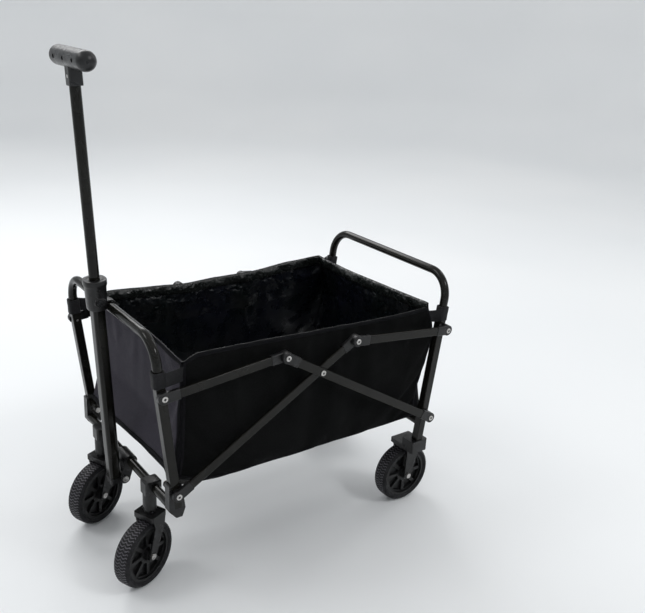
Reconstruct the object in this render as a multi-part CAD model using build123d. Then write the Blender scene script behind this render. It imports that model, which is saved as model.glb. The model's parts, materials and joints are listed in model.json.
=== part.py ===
from build123d import *
import math
import os

# Folding wagon with a telescopic pull handle. Millimetres.
# X runs along the wagon and the handle end is at -X. Y runs across it and the left side is at -Y. Z is up.
# The origin is on the ground, under the middle of the whole wagon.

# ---- driving dimensions: frame linkage ----
ARM = 400.0              # brace pivot at the leg to the scissor crossing
ELBOW_ARM = 108.4        # scissor crossing to the elbow
OPEN_ANGLE = 30.7        # brace above the horizontal, wagon open
FOLDED_ANGLE = 75.0      # brace above the horizontal, wagon folded
LEG_LEAN = 6.9           # legs lean outwards above the lower pivot
HOOP_LEAN = 3.0          # the front hoop stands more upright than its legs
PIVOT_Z = 262.3          # lower pivots above the ground
LEG_Y = 228.0            # centre plane of the legs
LEG = 20.0               # square leg tube
WALL = 1.5               # tube wall
TUBE_H = 20.0            # flat tube of the braces and links, height
TUBE_D = 8.0             # the same, depth
CAP_D = 10.0             # plastic end cap, depth
CAP_R = 13.0             # round end of the cap
CAP_REACH = 34.0         # cap length from its pivot
TUBE_START = 14.0        # tube end, from its pivot
RIVET_R = 3.0
RIVET_HEAD_R = 6.5
RUN_FIT = 0.05           # radial clearance of a turning pin
GAP = 0.4                # clearance between neighbouring layers

# ---- driving dimensions: hoops and cross tubes ----
HOOP_R = 10.0
FRONT_HOOP_Z = 607.0
REAR_HOOP_Z = 621.0
HOOP_BEND = 60.0
LEG_TOP_Z = 520.0
CROSS_R = 10.0
FRONT_CROSS_Z = 232.0
FRONT_CROSS_OUT = 8.1    # front cross tube ahead of the lower pivot
REAR_CROSS_Z = 236.0
FOOT_Z = (205.0, 285.0)
FOOT_LEG_Z = 227.0       # lower end of the front leg, inside its foot
BAND_H = 34.0            # webbing band round the leg's top

# ---- driving dimensions: wheels ----
WHEEL_R = 76.5
WHEEL_W = 42.0
RIM_R = 62.0
AXLE_R = 4.0
ARM_T = 4.0              # thickness of a fork arm
ARM_CLEAR = 2.5          # fork arm to the tyre's side
CROWN_Z = (158.0, 170.0)
CASTER_TRAIL = 24.0
CASTER_TURN = 24.0       # casters at rest point this far to one side
CASTER_Y = 137.4
CASTER_OUT = 15.5        # caster stem ahead of the lower pivot
STEM_R = 6.0
REAR_WHEEL_Y = 187.0
REAR_WHEEL_IN = 15.2     # rear axle ahead of the rear lower pivot
SPOKES = 8

# ---- driving dimensions: pull handle ----
HANDLE_LEAN = 2.8
HANDLE_Z = 192.0         # lower end of the outer tube
HANDLE_OUT = 40.1        # its centre ahead of the lower pivot
OUTER_X = 26.0
OUTER_Y = 32.0
OUTER_LEN = 455.0
INNER_R = 11.0
INNER_START = 345.0      # inner tube's lower end up the handle, extended
GRIP_S = 916.0           # grip's centre up the handle
GRIP_R = 19.5
GRIP_LEN = 176.0
STEM_S = 866.0           # lower end of the grip's stem up the handle
STEM_W = 27.0
COLLAR_S = (412.0, 478.0)
COLLAR_X = 40.0
COLLAR_Y = 46.0
PIVOT_BACK = 18.0        # handle pivot behind the tube's centre line

# ---- driving dimensions: bag and load floor ----
BAG_TOP = 552.0
BAG_FOOT = 273.0
BAG_TOP_X = 321.0        # half length at the rim, outside
BAG_FOOT_X = 346.0       # half length at the foot, outside
CLOTH = 3.0
END_WALL_Y = 189.0
SIDE_WALL_Y = 217.6
RAIL_D = 11.0
RAIL_H = 16.0
BOARD_T = 4.0
BOARD_GAP = 44.0         # board edge to the middle hinge, for the fold
BOARD_START = 42.0       # board edge to the lower pivot
STRAP_W = 25.0
BAR_END = 62.0           # cross bar under a board, from the lower pivot
BAR_MID = 112.0          # the same, from the middle hinge


def rad(angle):
    return math.radians(angle)


# ---- linkage points, seen from the side ----
HALF_BASE = ARM * math.cos(rad(OPEN_ANGLE))
WHEEL_HALF = WHEEL_W / 2
CASTER_REACH = (HALF_BASE + CASTER_OUT + CASTER_TRAIL * math.cos(rad(CASTER_TURN))
                + WHEEL_R * math.cos(rad(CASTER_TURN)) + WHEEL_HALF * math.sin(rad(CASTER_TURN)))
REAR_REACH = HALF_BASE - REAR_WHEEL_IN + WHEEL_R
MID_X = (CASTER_REACH - REAR_REACH) / 2 - 0.7


def leg_height():
    """Upper pivot above the lower one, so that both elbows close when open and when folded."""
    low, high, lean = rad(OPEN_ANGLE), rad(FOLDED_ANGLE), rad(LEG_LEAN)
    sines = math.sin(high) - math.sin(low)
    cosines = math.cos(high) - math.cos(low)
    squares = math.sin(high) ** 2 - math.sin(low) ** 2
    span = (ARM + ELBOW_ARM) * sines - (ARM - ELBOW_ARM) * math.tan(lean) * cosines
    return 2 * ARM * ELBOW_ARM * squares / span


LEG_SPAN = leg_height()
FRONT_LOW = (MID_X - HALF_BASE, PIVOT_Z)
REAR_LOW = (MID_X + HALF_BASE, PIVOT_Z)
LEAN_STEP = LEG_SPAN * math.tan(rad(LEG_LEAN))
FRONT_TOP = (FRONT_LOW[0] - LEAN_STEP, PIVOT_Z + LEG_SPAN)
REAR_TOP = (REAR_LOW[0] + LEAN_STEP, PIVOT_Z + LEG_SPAN)
CROSSING = (MID_X, PIVOT_Z + ARM * math.sin(rad(OPEN_ANGLE)))
ELBOW_DX = ELBOW_ARM * math.cos(rad(OPEN_ANGLE))
ELBOW_DZ = ELBOW_ARM * math.sin(rad(OPEN_ANGLE))
FRONT_ELBOW = (MID_X - ELBOW_DX, CROSSING[1] + ELBOW_DZ)
REAR_ELBOW = (MID_X + ELBOW_DX, CROSSING[1] + ELBOW_DZ)
FLOOR_HINGE = (MID_X, PIVOT_Z)

# ---- layers across the right side; the left side mirrors them ----
LEG_OUT = LEG_Y + LEG / 2
LEG_IN = LEG_Y - LEG / 2
INNER_LAYER = (LEG_OUT + 2 + GAP, LEG_OUT + 2 + GAP + CAP_D)
OUTER_LAYER = (INNER_LAYER[1] + 0.5, INNER_LAYER[1] + 0.5 + CAP_D)
BOSS_Y = LEG_OUT + GAP
REAR_RAIL_Y = (SIDE_WALL_Y - CLOTH - 1.6 - RAIL_D, SIDE_WALL_Y - CLOTH - 1.6)
FRONT_RAIL_Y = (REAR_RAIL_Y[0] - 1 - RAIL_D, REAR_RAIL_Y[0] - 1)


def leg_x(low, z, sign):
    """Centre of a leg at height z; sign is -1 at the front and 1 at the rear."""
    return low[0] + sign * (z - PIVOT_Z) * math.tan(rad(LEG_LEAN))


def span(a, b):
    """Length and rising angle of the line from a to b."""
    return math.hypot(b[0] - a[0], b[1] - a[1]), math.degrees(math.atan2(b[1] - a[1], b[0] - a[0]))


def along(a, b, distance):
    """Point on the line from a to b, at a distance from a."""
    length, _ = span(a, b)
    return (a[0] + (b[0] - a[0]) * distance / length, a[1] + (b[1] - a[1]) * distance / length)


def side_bar(a, b, y_range, height, radius=2.0):
    """Solid bar from a to b in the side view, filling y_range."""
    length, angle = span(a, b)
    bar = Box(length, y_range[1] - y_range[0], height)
    bar = fillet(bar.edges().filter_by(Axis.X), radius)
    middle = ((a[0] + b[0]) / 2, (y_range[0] + y_range[1]) / 2, (a[1] + b[1]) / 2)
    return Pos(*middle) * Rot(0, -angle, 0) * bar


def side_tube(a, b, y_range, height):
    """Hollow flat tube from a to b in the side view."""
    inner = (y_range[0] + WALL, y_range[1] - WALL)
    core = side_bar(along(a, b, -1), along(b, a, -1), inner, height - 2 * WALL, 0.8)
    return side_bar(a, b, y_range, height) - core


def cross_pin(point, radius, y_range):
    """Cylinder along Y at a point of the side view."""
    y_mid = (y_range[0] + y_range[1]) / 2
    return Pos(point[0], y_mid, point[1]) * Rot(90, 0, 0) * Cylinder(radius, y_range[1] - y_range[0])


def rivet(point, y_range, side=1):
    """Rivet with a ringed head on its outer end and a flat head on the inner end."""
    shank = cross_pin(point, RIVET_R, y_range)
    head = cross_pin(point, RIVET_HEAD_R, (y_range[1], y_range[1] + 1.6))
    head = fillet(head.edges().group_by(Axis.Y)[-1], 0.9)
    ring = cross_pin(point, 2.6, (y_range[1] + 0.6, y_range[1] + 2))
    return shank + head - ring


def end_cap(pivot, far, layer, boss_y):
    """Plastic cap on the end of a flat tube: a round knuckle at the pivot and a socket for the tube."""
    middle = (layer[0] + layer[1]) / 2
    knuckle = cross_pin(pivot, CAP_R, (boss_y, layer[1]))
    knuckle = fillet(knuckle.edges().group_by(Axis.Y)[-1], 2.0)
    socket = side_bar(pivot, along(pivot, far, CAP_REACH), layer, TUBE_H + 3, 2.0)
    depth = (middle - TUBE_D / 2, middle + TUBE_D / 2)
    tube = side_bar(along(pivot, far, TUBE_START), far, depth, TUBE_H)
    hole = cross_pin(pivot, RIVET_R + RUN_FIT, (boss_y - 1, layer[1] + 1))
    return knuckle + socket - tube - hole


def flat_tube(a, b, layer):
    """Flat tube between two end caps."""
    middle = (layer[0] + layer[1]) / 2
    depth = (middle - TUBE_D / 2, middle + TUBE_D / 2)
    return side_tube(along(a, b, TUBE_START), along(b, a, TUBE_START), depth, TUBE_H)


def both(shape):
    """The right-hand shape and its mirror image on the left, as one group of solids."""
    return Compound(children=solids_of(shape) + solids_of(left(shape)))


def left(shape):
    return mirror(shape, about=Plane.XZ)


def solids_of(shape):
    return list(shape.solids())


def group(*shapes):
    """Separate solids that share one node."""
    return Compound(children=[solid for shape in shapes for solid in solids_of(shape)])


# ---- end frames ----
def leg_solid(low, sign, z_low, z_high, grow=0.0):
    """A leaning square leg, as a solid bar."""
    a = (leg_x(low, z_low, sign), z_low)
    b = (leg_x(low, z_high, sign), z_high)
    half = LEG / 2 + grow
    return side_bar(a, b, (LEG_Y - half, LEG_Y + half), LEG + 2 * grow, 2.0)


def leg_tube(low, top, sign, z_low):
    """A hollow leg with its pivot holes."""
    a = (leg_x(low, z_low, sign), z_low)
    b = (leg_x(low, LEG_TOP_Z, sign), LEG_TOP_Z)
    tube = side_tube(a, b, (LEG_IN, LEG_OUT), LEG)
    for pivot in (low, top):
        tube -= cross_pin(pivot, RIVET_R, (LEG_IN - 1, LEG_OUT + 1))
    return tube


def hoop(low, sign, top_z, lean):
    """Round tube that rises from both legs and crosses between them."""
    x = leg_x(low, LEG_TOP_Z, sign)
    rise = (top_z - LEG_TOP_Z) / math.cos(rad(lean))
    path = FilletPolyline((0, -LEG_Y, 0), (0, -LEG_Y, rise), (0, LEG_Y, rise), (0, LEG_Y, 0), radius=HOOP_BEND)
    ring = Plane(origin=(0, -LEG_Y, 0), z_dir=(0, 0, 1)) * (Circle(HOOP_R) - Circle(HOOP_R - WALL))
    bow = Pos(x, 0, LEG_TOP_Z) * Rot(0, sign * lean, 0) * sweep(ring, path=path)
    leg = leg_solid(low, sign, LEG_TOP_Z - 30, LEG_TOP_Z)
    return bow - leg - left(leg)


def cross_tube(x, z, half):
    tube = Rot(90, 0, 0) * (Cylinder(CROSS_R, 2 * half) - Cylinder(CROSS_R - WALL, 2 * half + 2))
    return Pos(x, 0, z) * tube


def front_foot():
    """Plastic shoe on the leg's lower end, tapered to a blunt V."""
    low, high = FOOT_Z
    x_low = leg_x(FRONT_LOW, low, -1)
    x_high = leg_x(FRONT_LOW, high, -1)
    outline = [(x_low - 8, low), (x_low + 6, low), (x_low + 13, low + 20), (x_high + 17, PIVOT_Z + 4),
               (x_high + 14, high), (x_high - 14, high), (x_low - 24, FRONT_CROSS_Z + 6),
               (x_low - 24, FRONT_CROSS_Z - 8)]
    face = make_face(Polyline(*outline, close=True))
    shoe = extrude(Plane(origin=(0, LEG_IN, 0), x_dir=(1, 0, 0), z_dir=(0, -1, 0)) * face, amount=-LEG)
    shoe = fillet(shoe.edges().filter_by(Axis.Y), 2.0)
    leg = leg_solid(FRONT_LOW, -1, FOOT_LEG_Z, high + 20)
    return shoe - leg - cross_pin(FRONT_LOW, RIVET_R, (LEG_IN - 1, LEG_OUT + 1))


def leg_band(low, sign, lean):
    """Webbing loop round the joint of leg and hoop, with a tab towards the bag."""
    x = leg_x(low, LEG_TOP_Z, sign)
    ring = Box(LEG + 6, LEG + 4, BAND_H) + Pos(-sign * 22.5, -10.5, 0) * Box(21, 2.5, BAND_H)
    ring = Pos(x + sign * 0.8, LEG_Y, LEG_TOP_Z + 8) * Rot(0, sign * lean, 0) * ring
    post = Rot(0, sign * lean, 0) * Pos(0, 0, 50) * Cylinder(HOOP_R + 0.05, 100)
    return ring - leg_solid(low, sign, 400, LEG_TOP_Z, 0.05) - Pos(x, LEG_Y, LEG_TOP_Z - 0.5) * post


# ---- wheels, modelled round the origin with the axle along Y ----
def tyre():
    half = WHEEL_HALF
    profile = make_face(Polyline((RIM_R, -half + 3), (RIM_R + 4, -half + 1), (WHEEL_R - 7, -half),
                                 (WHEEL_R - 1.5, -half + 5), (WHEEL_R, -half + 11), (WHEEL_R, half - 11),
                                 (WHEEL_R - 1.5, half - 5), (WHEEL_R - 7, half), (RIM_R + 4, half - 1),
                                 (RIM_R, half - 3), close=True))
    return Rot(90, 0, 0) * revolve(Plane.XZ * profile, Axis.Z)


def spoke_pocket():
    """Fan-shaped recess between two spokes, one side."""
    half_turn = 180 / SPOKES
    inner, outer = 22.0, RIM_R - 9
    edge = rad(half_turn - 5)
    points = [(inner * math.cos(-edge * 0.7), inner * math.sin(-edge * 0.7)),
              (outer * math.cos(-edge), outer * math.sin(-edge)),
              (outer * math.cos(edge), outer * math.sin(edge)),
              (inner * math.cos(edge * 0.7), inner * math.sin(edge * 0.7))]
    face = make_face(Polyline(*points, close=True))
    return extrude(face, amount=9)


def hub():
    half = WHEEL_HALF
    body = Cylinder(RIM_R - 0.02, 2 * half - 8) - Pos(0, 0, half - 6) * Cylinder(RIM_R - 6, 6)
    body -= Pos(0, 0, 6 - half) * Cylinder(RIM_R - 6, 6)
    body += Cylinder(14, 2 * half + 1)
    for index in range(SPOKES):
        turn = Rot(0, 0, (index + 0.5) * 360 / SPOKES)
        body -= turn * Pos(0, 0, half - 16) * spoke_pocket()
        body -= turn * Pos(0, 0, 7 - half) * spoke_pocket()
    return Rot(90, 0, 0) * (body - Cylinder(AXLE_R + RUN_FIT, 60))


def axle():
    """Axle bolt with a head and a nut."""
    reach = WHEEL_HALF + ARM_CLEAR + ARM_T
    bolt = Cylinder(AXLE_R, 2 * reach)
    head = fillet(Cylinder(7, 4).edges().group_by(Axis.Z)[-1], 1.2)
    nut = extrude(RegularPolygon(7, 6), amount=5)
    return Rot(90, 0, 0) * (bolt + Pos(0, 0, reach + 2) * head + Pos(0, 0, -reach - 5) * nut)


def fork_arm(crown_from, crown_to, crown_z, side):
    """Arm plate in the wheel's own frame: X forward, from the crown to the axle."""
    outline = [(crown_from, crown_z), (crown_to, crown_z), (crown_to - 4, crown_z - 26),
               (11, WHEEL_R - 5), (5, WHEEL_R - 12), (-5, WHEEL_R - 12), (-11, WHEEL_R - 5),
               (crown_from + 6, crown_z - 26)]
    face = make_face(Polyline(*outline, close=True))
    y = side * (WHEEL_HALF + ARM_CLEAR + ARM_T / 2)
    plate = extrude(Plane(origin=(0, y, 0), x_dir=(1, 0, 0), z_dir=(0, -1, 0)) * face, amount=ARM_T / 2, both=True)
    return plate - cross_pin((0, WHEEL_R), AXLE_R, (y - 5, y + 5))


def caster_fork():
    """Swivel fork in the wheel's own frame, with the axle above the origin and the stem behind it."""
    width = 2 * (WHEEL_HALF + ARM_CLEAR + ARM_T)
    low, high = CROWN_Z
    crown = Pos(CASTER_TRAIL, 0, (low + high) / 2) * Box(46, width, high - low)
    crown = fillet(crown.edges().filter_by(Axis.Z), 5)
    fork = crown
    for side in (-1, 1):
        fork += fork_arm(CASTER_TRAIL - 20, CASTER_TRAIL + 20, high - 4, side)
    fork += Pos(CASTER_TRAIL, 0, high + 3.5) * Cylinder(12, 7)
    return fork + Pos(CASTER_TRAIL, 0, high + 20) * Cylinder(STEM_R, 40)


def caster_place(side):
    """From the wheel's own frame to its place under the front cross tube."""
    turn = rad(CASTER_TURN)
    x = FRONT_LOW[0] - CASTER_OUT - CASTER_TRAIL * math.cos(turn)
    y = side * CASTER_Y - CASTER_TRAIL * math.sin(turn)
    return Pos(x, y, 0) * Rot(0, 0, CASTER_TURN)


def caster_housing():
    """Clamp on the front cross tube with a bore for the caster's stem."""
    x = FRONT_LOW[0] - CASTER_OUT
    top = FRONT_CROSS_Z + 17
    saddle = Pos(x + 4, CASTER_Y, FRONT_CROSS_Z + 1) * Box(38, 34, 32)
    saddle = fillet(saddle.edges().filter_by(Axis.Z), 6)
    saddle = chamfer(saddle.edges().group_by(Axis.Z)[-1], 3)
    low = CROWN_Z[1] + 7.5
    barrel = Pos(x, CASTER_Y, (low + top - 4) / 2) * Cylinder(15, top - 4 - low)
    housing = saddle + barrel
    housing -= Pos(FRONT_LOW[0] - FRONT_CROSS_OUT, CASTER_Y, FRONT_CROSS_Z) * Rot(90, 0, 0) * Cylinder(CROSS_R, 80)
    return housing - Pos(x, CASTER_Y, low + 18) * Cylinder(STEM_R + RUN_FIT, 40)


def rear_fork():
    """Fixed fork under the rear leg; its crown reaches from the leg in over the wheel."""
    low, high = CROWN_Z
    width = 2 * (WHEEL_HALF + ARM_CLEAR + ARM_T)
    plate = Pos(10, 0, (low + high) / 2) * Box(62, width, high - low)
    socket = Pos(6, LEG_Y - REAR_WHEEL_Y - 8, high + 4) * Box(50, 42, 32)
    fork = fillet(plate.edges().filter_by(Axis.Z), 4) + fillet(socket.edges().filter_by(Axis.Z), 4)
    for side in (-1, 1):
        fork += fork_arm(-14, 34, high - 4, side)
    fork = Pos(REAR_LOW[0] - REAR_WHEEL_IN, REAR_WHEEL_Y, 0) * fork
    return fork - leg_solid(REAR_LOW, 1, high - 6, 300)


# ---- pull handle, modelled up its own axis from the outer tube's lower end ----
def handle_place():
    x = FRONT_LOW[0] - HANDLE_OUT
    return Pos(x, 0, HANDLE_Z) * Rot(0, -HANDLE_LEAN, 0)


def rounded_bar(size_x, size_y, low, high, radius):
    bar = Pos(0, 0, (low + high) / 2) * Box(size_x, size_y, high - low)
    return fillet(bar.edges().filter_by(Axis.Z), radius)


def handle_pivot():
    """Centre of the handle's pivot bolt, in the side view."""
    x = FRONT_LOW[0] - HANDLE_OUT + PIVOT_BACK * math.cos(rad(HANDLE_LEAN))
    return (x, HANDLE_Z - 2)


def outer_tube():
    tube = rounded_bar(OUTER_X, OUTER_Y, 0, OUTER_LEN, 8)
    tube -= Pos(0, 0, OUTER_LEN / 2) * Cylinder(INNER_R + 0.6, OUTER_LEN + 2)
    return handle_place() * tube


def handle_knuckle():
    """Plug in the tube's lower end, with a lug that turns on the pivot bolt."""
    plug = Pos(0, 0, 12) * Cylinder(INNER_R + 0.58, 24)
    block = rounded_bar(OUTER_X, OUTER_Y, -14, 0, 5)
    solid = handle_place() * (plug + block)
    lug = cross_pin(handle_pivot(), 11, (-OUTER_Y / 2, OUTER_Y / 2))
    return solid + (lug - outer_bar()) - cross_pin(handle_pivot(), AXLE_R + RUN_FIT, (-30, 30))


def outer_bar():
    return handle_place() * rounded_bar(OUTER_X, OUTER_Y, 0, OUTER_LEN, 8)


def handle_bracket():
    """Clamp round the front cross tube with two ears that hold the handle's pivot bolt."""
    tube = (FRONT_LOW[0] - FRONT_CROSS_OUT, FRONT_CROSS_Z)
    pivot = handle_pivot()
    clamp = cross_pin(tube, CROSS_R + 5, (-24, 24)) - cross_pin(tube, CROSS_R, (-30, 30))
    for side in (-1, 1):
        inside = OUTER_Y / 2 + 0.8
        y_range = sorted((side * inside, side * (inside + 6)))
        ear = side_bar(tube, pivot, y_range, 24, 1.5) + cross_pin(pivot, 12, y_range)
        clamp += ear - cross_pin(tube, CROSS_R, (-30, 30))
    return clamp - cross_pin(pivot, AXLE_R, (-40, 40))


def handle_bolt():
    """Pivot bolt with a head at each end."""
    reach = OUTER_Y / 2 + 0.8 + 6
    bolt = cross_pin(handle_pivot(), AXLE_R, (-reach, reach))
    for side in (-1, 1):
        bolt += cross_pin(handle_pivot(), 7, sorted((side * reach, side * (reach + 3.5))))
    return bolt


def collar():
    """Sleeve on the outer tube's top end, with a U clip that holds the front hoop."""
    low, high = COLLAR_S
    sleeve = rounded_bar(COLLAR_X, COLLAR_Y, low, high, 13)
    sleeve += rounded_bar(COLLAR_X + 4, COLLAR_Y + 4, high - 12, high, 14)
    sleeve -= Pos(0, 0, (low + OUTER_LEN) / 2 - 1) * fit_bar(OUTER_LEN - low + 2)
    sleeve -= Pos(0, 0, high) * Cylinder(INNER_R + 0.6, 100)
    hoop_s = (FRONT_HOOP_Z - HANDLE_Z) / math.cos(rad(HANDLE_LEAN))
    clip = Pos(COLLAR_X / 2 + 4, 0, hoop_s) * Box(40, 26, 34)
    sleeve += clip - Pos(0, 0, hoop_s) * fit_bar(80) - Pos(0, 0, high) * Cylinder(INNER_R + 0.6, 100)
    pocket = Pos(0, -COLLAR_Y / 2 + 2, low + 20) * button_shape(5.0, 0.4)
    placed = handle_place() * (sleeve - pocket)
    hoop_x = hoop_centre_x()
    slot = Pos(hoop_x + 20, 0, FRONT_HOOP_Z) * Box(40 + 2 * HOOP_R + 2, 60, 2 * HOOP_R + 3)
    return placed - slot


def hoop_centre_x():
    """Centre line of the front hoop's cross bar."""
    start = leg_x(FRONT_LOW, LEG_TOP_Z, -1)
    return start - (FRONT_HOOP_Z - LEG_TOP_Z) * math.tan(rad(HOOP_LEAN))


def fit_bar(length):
    """Outer tube's section as a solid of the given length, for cutting."""
    return rounded_bar(OUTER_X, OUTER_Y, -length / 2, length / 2, 8)


def button_shape(depth, grow):
    """Oval button, its depth along Y."""
    face = SlotOverall(17 + 2 * grow, 10 + 2 * grow)
    return Rot(90, 0, 0) * extrude(face, amount=depth / 2, both=True)


def lock_button():
    y = -COLLAR_Y / 2 - 0.4
    button = fillet(button_shape(4.0, 0).edges().group_by(Axis.Y)[0], 1.0)
    return handle_place() * Pos(0, y, COLLAR_S[0] + 20) * button


def inner_tube():
    high = STEM_S + 30
    tube = Pos(0, 0, (INNER_START + high) / 2) * Cylinder(INNER_R, high - INNER_START)
    bore = Pos(0, 0, (INNER_START + high) / 2) * Cylinder(INNER_R - WALL, high - INNER_START + 2)
    return handle_place() * (tube - bore)


def grip():
    """T grip: a capsule across the handle on a squared stem."""
    straight = GRIP_LEN - 2 * GRIP_R
    bar = Rot(90, 0, 0) * Cylinder(GRIP_R, straight)
    for side in (-1, 1):
        bar += Pos(0, side * straight / 2, 0) * Sphere(GRIP_R)
    body = Pos(0, 0, GRIP_S) * bar + rounded_bar(STEM_W, STEM_W, STEM_S, GRIP_S, 5)
    body -= Pos(0, 0, STEM_S + 15) * Cylinder(INNER_R, 30)
    for hole in grip_screw_places():
        body -= hole * Cylinder(4.2, 10)
    return handle_place() * body


def grip_screw_places():
    """Recesses for the screws on the grip's front face; their axis points forward."""
    straight = GRIP_LEN - 2 * GRIP_R
    places = [Pos(-GRIP_R + 1, y, GRIP_S) * Rot(0, 90, 0) for y in (-0.36 * straight, 0, 0.36 * straight)]
    return places + [Pos(-STEM_W / 2 + 1, 0, STEM_S + 17) * Rot(0, 90, 0)]


def grip_screws():
    screws = [handle_place() * place * Pos(0, 0, 4) * Cylinder(3.6, 2) for place in grip_screw_places()[:3]]
    stem = handle_place() * grip_screw_places()[3] * Pos(0, 0, 0.2) * Cylinder(3.6, 2)
    return group(*screws, stem)


# ---- bag and load floor ----
def wall_outline(thickness):
    """Sloped strip of an end wall in the side view, relative to the wagon's middle, rear end."""
    return [(BAG_FOOT_X, BAG_FOOT), (BAG_TOP_X, BAG_TOP), (BAG_TOP_X - thickness, BAG_TOP),
            (BAG_FOOT_X - thickness, BAG_FOOT)]


def side_prism(points, y_low, y_high):
    """Closed outline in the side view, filled from y_low to y_high."""
    face = make_face(Polyline(*points, close=True))
    plane = Plane(origin=(0, y_low, 0), x_dir=(1, 0, 0), z_dir=(0, -1, 0))
    return extrude(plane * face, amount=-(y_high - y_low))


def end_wall(sign):
    points = [(MID_X + sign * x, z) for x, z in wall_outline(CLOTH)]
    return side_prism(points, -END_WALL_Y, END_WALL_Y)


def side_wall():
    """Long side of the bag, with a return round each end as far as the end walls."""
    foot = BAG_FOOT_X - 12
    low = PIVOT_Z - 4
    points = [(-foot, low), (foot, low), (foot, BAG_FOOT), (BAG_FOOT_X, BAG_FOOT), (BAG_TOP_X, BAG_TOP),
              (-BAG_TOP_X, BAG_TOP), (-BAG_FOOT_X, BAG_FOOT), (-foot, BAG_FOOT)]
    wall = side_prism([(MID_X + x, z) for x, z in points], SIDE_WALL_Y - CLOTH, SIDE_WALL_Y)
    for sign in (-1, 1):
        corner = [(MID_X + sign * x, z) for x, z in wall_outline(CLOTH)]
        wall += side_prism(corner, END_WALL_Y + 0.3, SIDE_WALL_Y)
    return wall


def floor_rail(low, y_range):
    """Floor rail from its lower pivot to the middle hinge."""
    rail = side_bar(low, FLOOR_HINGE, y_range, RAIL_H, 1.5)
    for end in (low, FLOOR_HINGE):
        rail += cross_pin(end, RAIL_H / 2, y_range)
    return rail - cross_pin(low, RIVET_R + RUN_FIT, (y_range[0] - 1, y_range[1] + 1))


def floor_board(low, sign):
    start = low[0] - sign * BOARD_START
    end = MID_X + sign * BOARD_GAP
    middle = (start + end) / 2
    board = Box(abs(start - end), 2 * (FRONT_RAIL_Y[0] - 1), BOARD_T)
    return Pos(middle, 0, PIVOT_Z + RAIL_H / 2 - BOARD_T / 2) * board


def floor_bars(low, sign, inside):
    """Two flat bars under the board, from rail to rail."""
    bars = []
    for x in (low[0] - sign * BAR_END, MID_X + sign * BAR_MID):
        bars.append(Pos(x, 0, PIVOT_Z + RAIL_H / 2 - BOARD_T - 3) * Box(26, 2 * inside, 6))
    return group(*bars)


def closing_straps():
    """Two webbing straps that lie under the rear board and hold the folded wagon shut."""
    straps = [Pos(MID_X + 190, y, PIVOT_Z + 3.1) * Box(110, STRAP_W, 1.8) for y in (-60, 60)]
    return group(*straps)


def bag_floor(sign):
    """Half of the bag's cloth floor, from the end wall to the middle hinge."""
    half = BAG_FOOT_X - 14
    inside = SIDE_WALL_Y - CLOTH - 0.3
    return Pos(MID_X + sign * half / 2, 0, PIVOT_Z + RAIL_H / 2 + 1.3) * Box(half - 0.4, 2 * inside, 2)


# ---- rivets ----
def frame_rivets(low, top, layer, rail_y):
    lower = rivet(low, (rail_y[0] - 1, layer[1] + 0.2))
    upper = rivet(top, (LEG_IN, layer[1] + 0.2))
    return both(lower + cross_pin(low, RIVET_HEAD_R, (rail_y[0] - 2.5, rail_y[0] - 0.5)) + upper)


def crossing_rivets():
    pin = rivet(CROSSING, (INNER_LAYER[0] - 0.6, OUTER_LAYER[1] + 0.2))
    return both(pin + cross_pin(CROSSING, RIVET_HEAD_R, (INNER_LAYER[0] - 1.2, INNER_LAYER[0] + 0.6)))


def elbow_rivets(elbow):
    return both(rivet(elbow, (OUTER_LAYER[0], OUTER_LAYER[1] + 0.2)))


def brace(low, elbow, layer, turning):
    """Scissor brace with a hole at the crossing."""
    hole = cross_pin(CROSSING, RIVET_R + (RUN_FIT if turning else 0), (LEG_Y, OUTER_LAYER[1] + 2))
    return flat_tube(low, elbow, layer) - hole


# ---- node list ----
def frame_nodes():
    nodes = {}
    nodes["front_hoop"] = hoop(FRONT_LOW, -1, FRONT_HOOP_Z, HOOP_LEAN)
    nodes["rear_hoop"] = hoop(REAR_LOW, 1, REAR_HOOP_Z, LEG_LEAN)
    nodes["front_legs"] = both(leg_tube(FRONT_LOW, FRONT_TOP, -1, FOOT_LEG_Z))
    nodes["rear_legs"] = both(leg_tube(REAR_LOW, REAR_TOP, 1, CROWN_Z[1] - 6))
    nodes["front_cross_tube"] = cross_tube(FRONT_LOW[0] - FRONT_CROSS_OUT, FRONT_CROSS_Z, LEG_IN)
    nodes["rear_cross_tube"] = cross_tube(leg_x(REAR_LOW, REAR_CROSS_Z, 1), REAR_CROSS_Z, LEG_IN)
    nodes["front_feet"] = both(front_foot())
    nodes["front_leg_bands"] = both(leg_band(FRONT_LOW, -1, HOOP_LEAN))
    nodes["rear_leg_bands"] = both(leg_band(REAR_LOW, 1, LEG_LEAN))
    nodes["front_frame_rivets"] = frame_rivets(FRONT_LOW, FRONT_TOP, INNER_LAYER, FRONT_RAIL_Y)
    nodes["rear_frame_rivets"] = frame_rivets(REAR_LOW, REAR_TOP, OUTER_LAYER, REAR_RAIL_Y)
    return nodes


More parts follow.
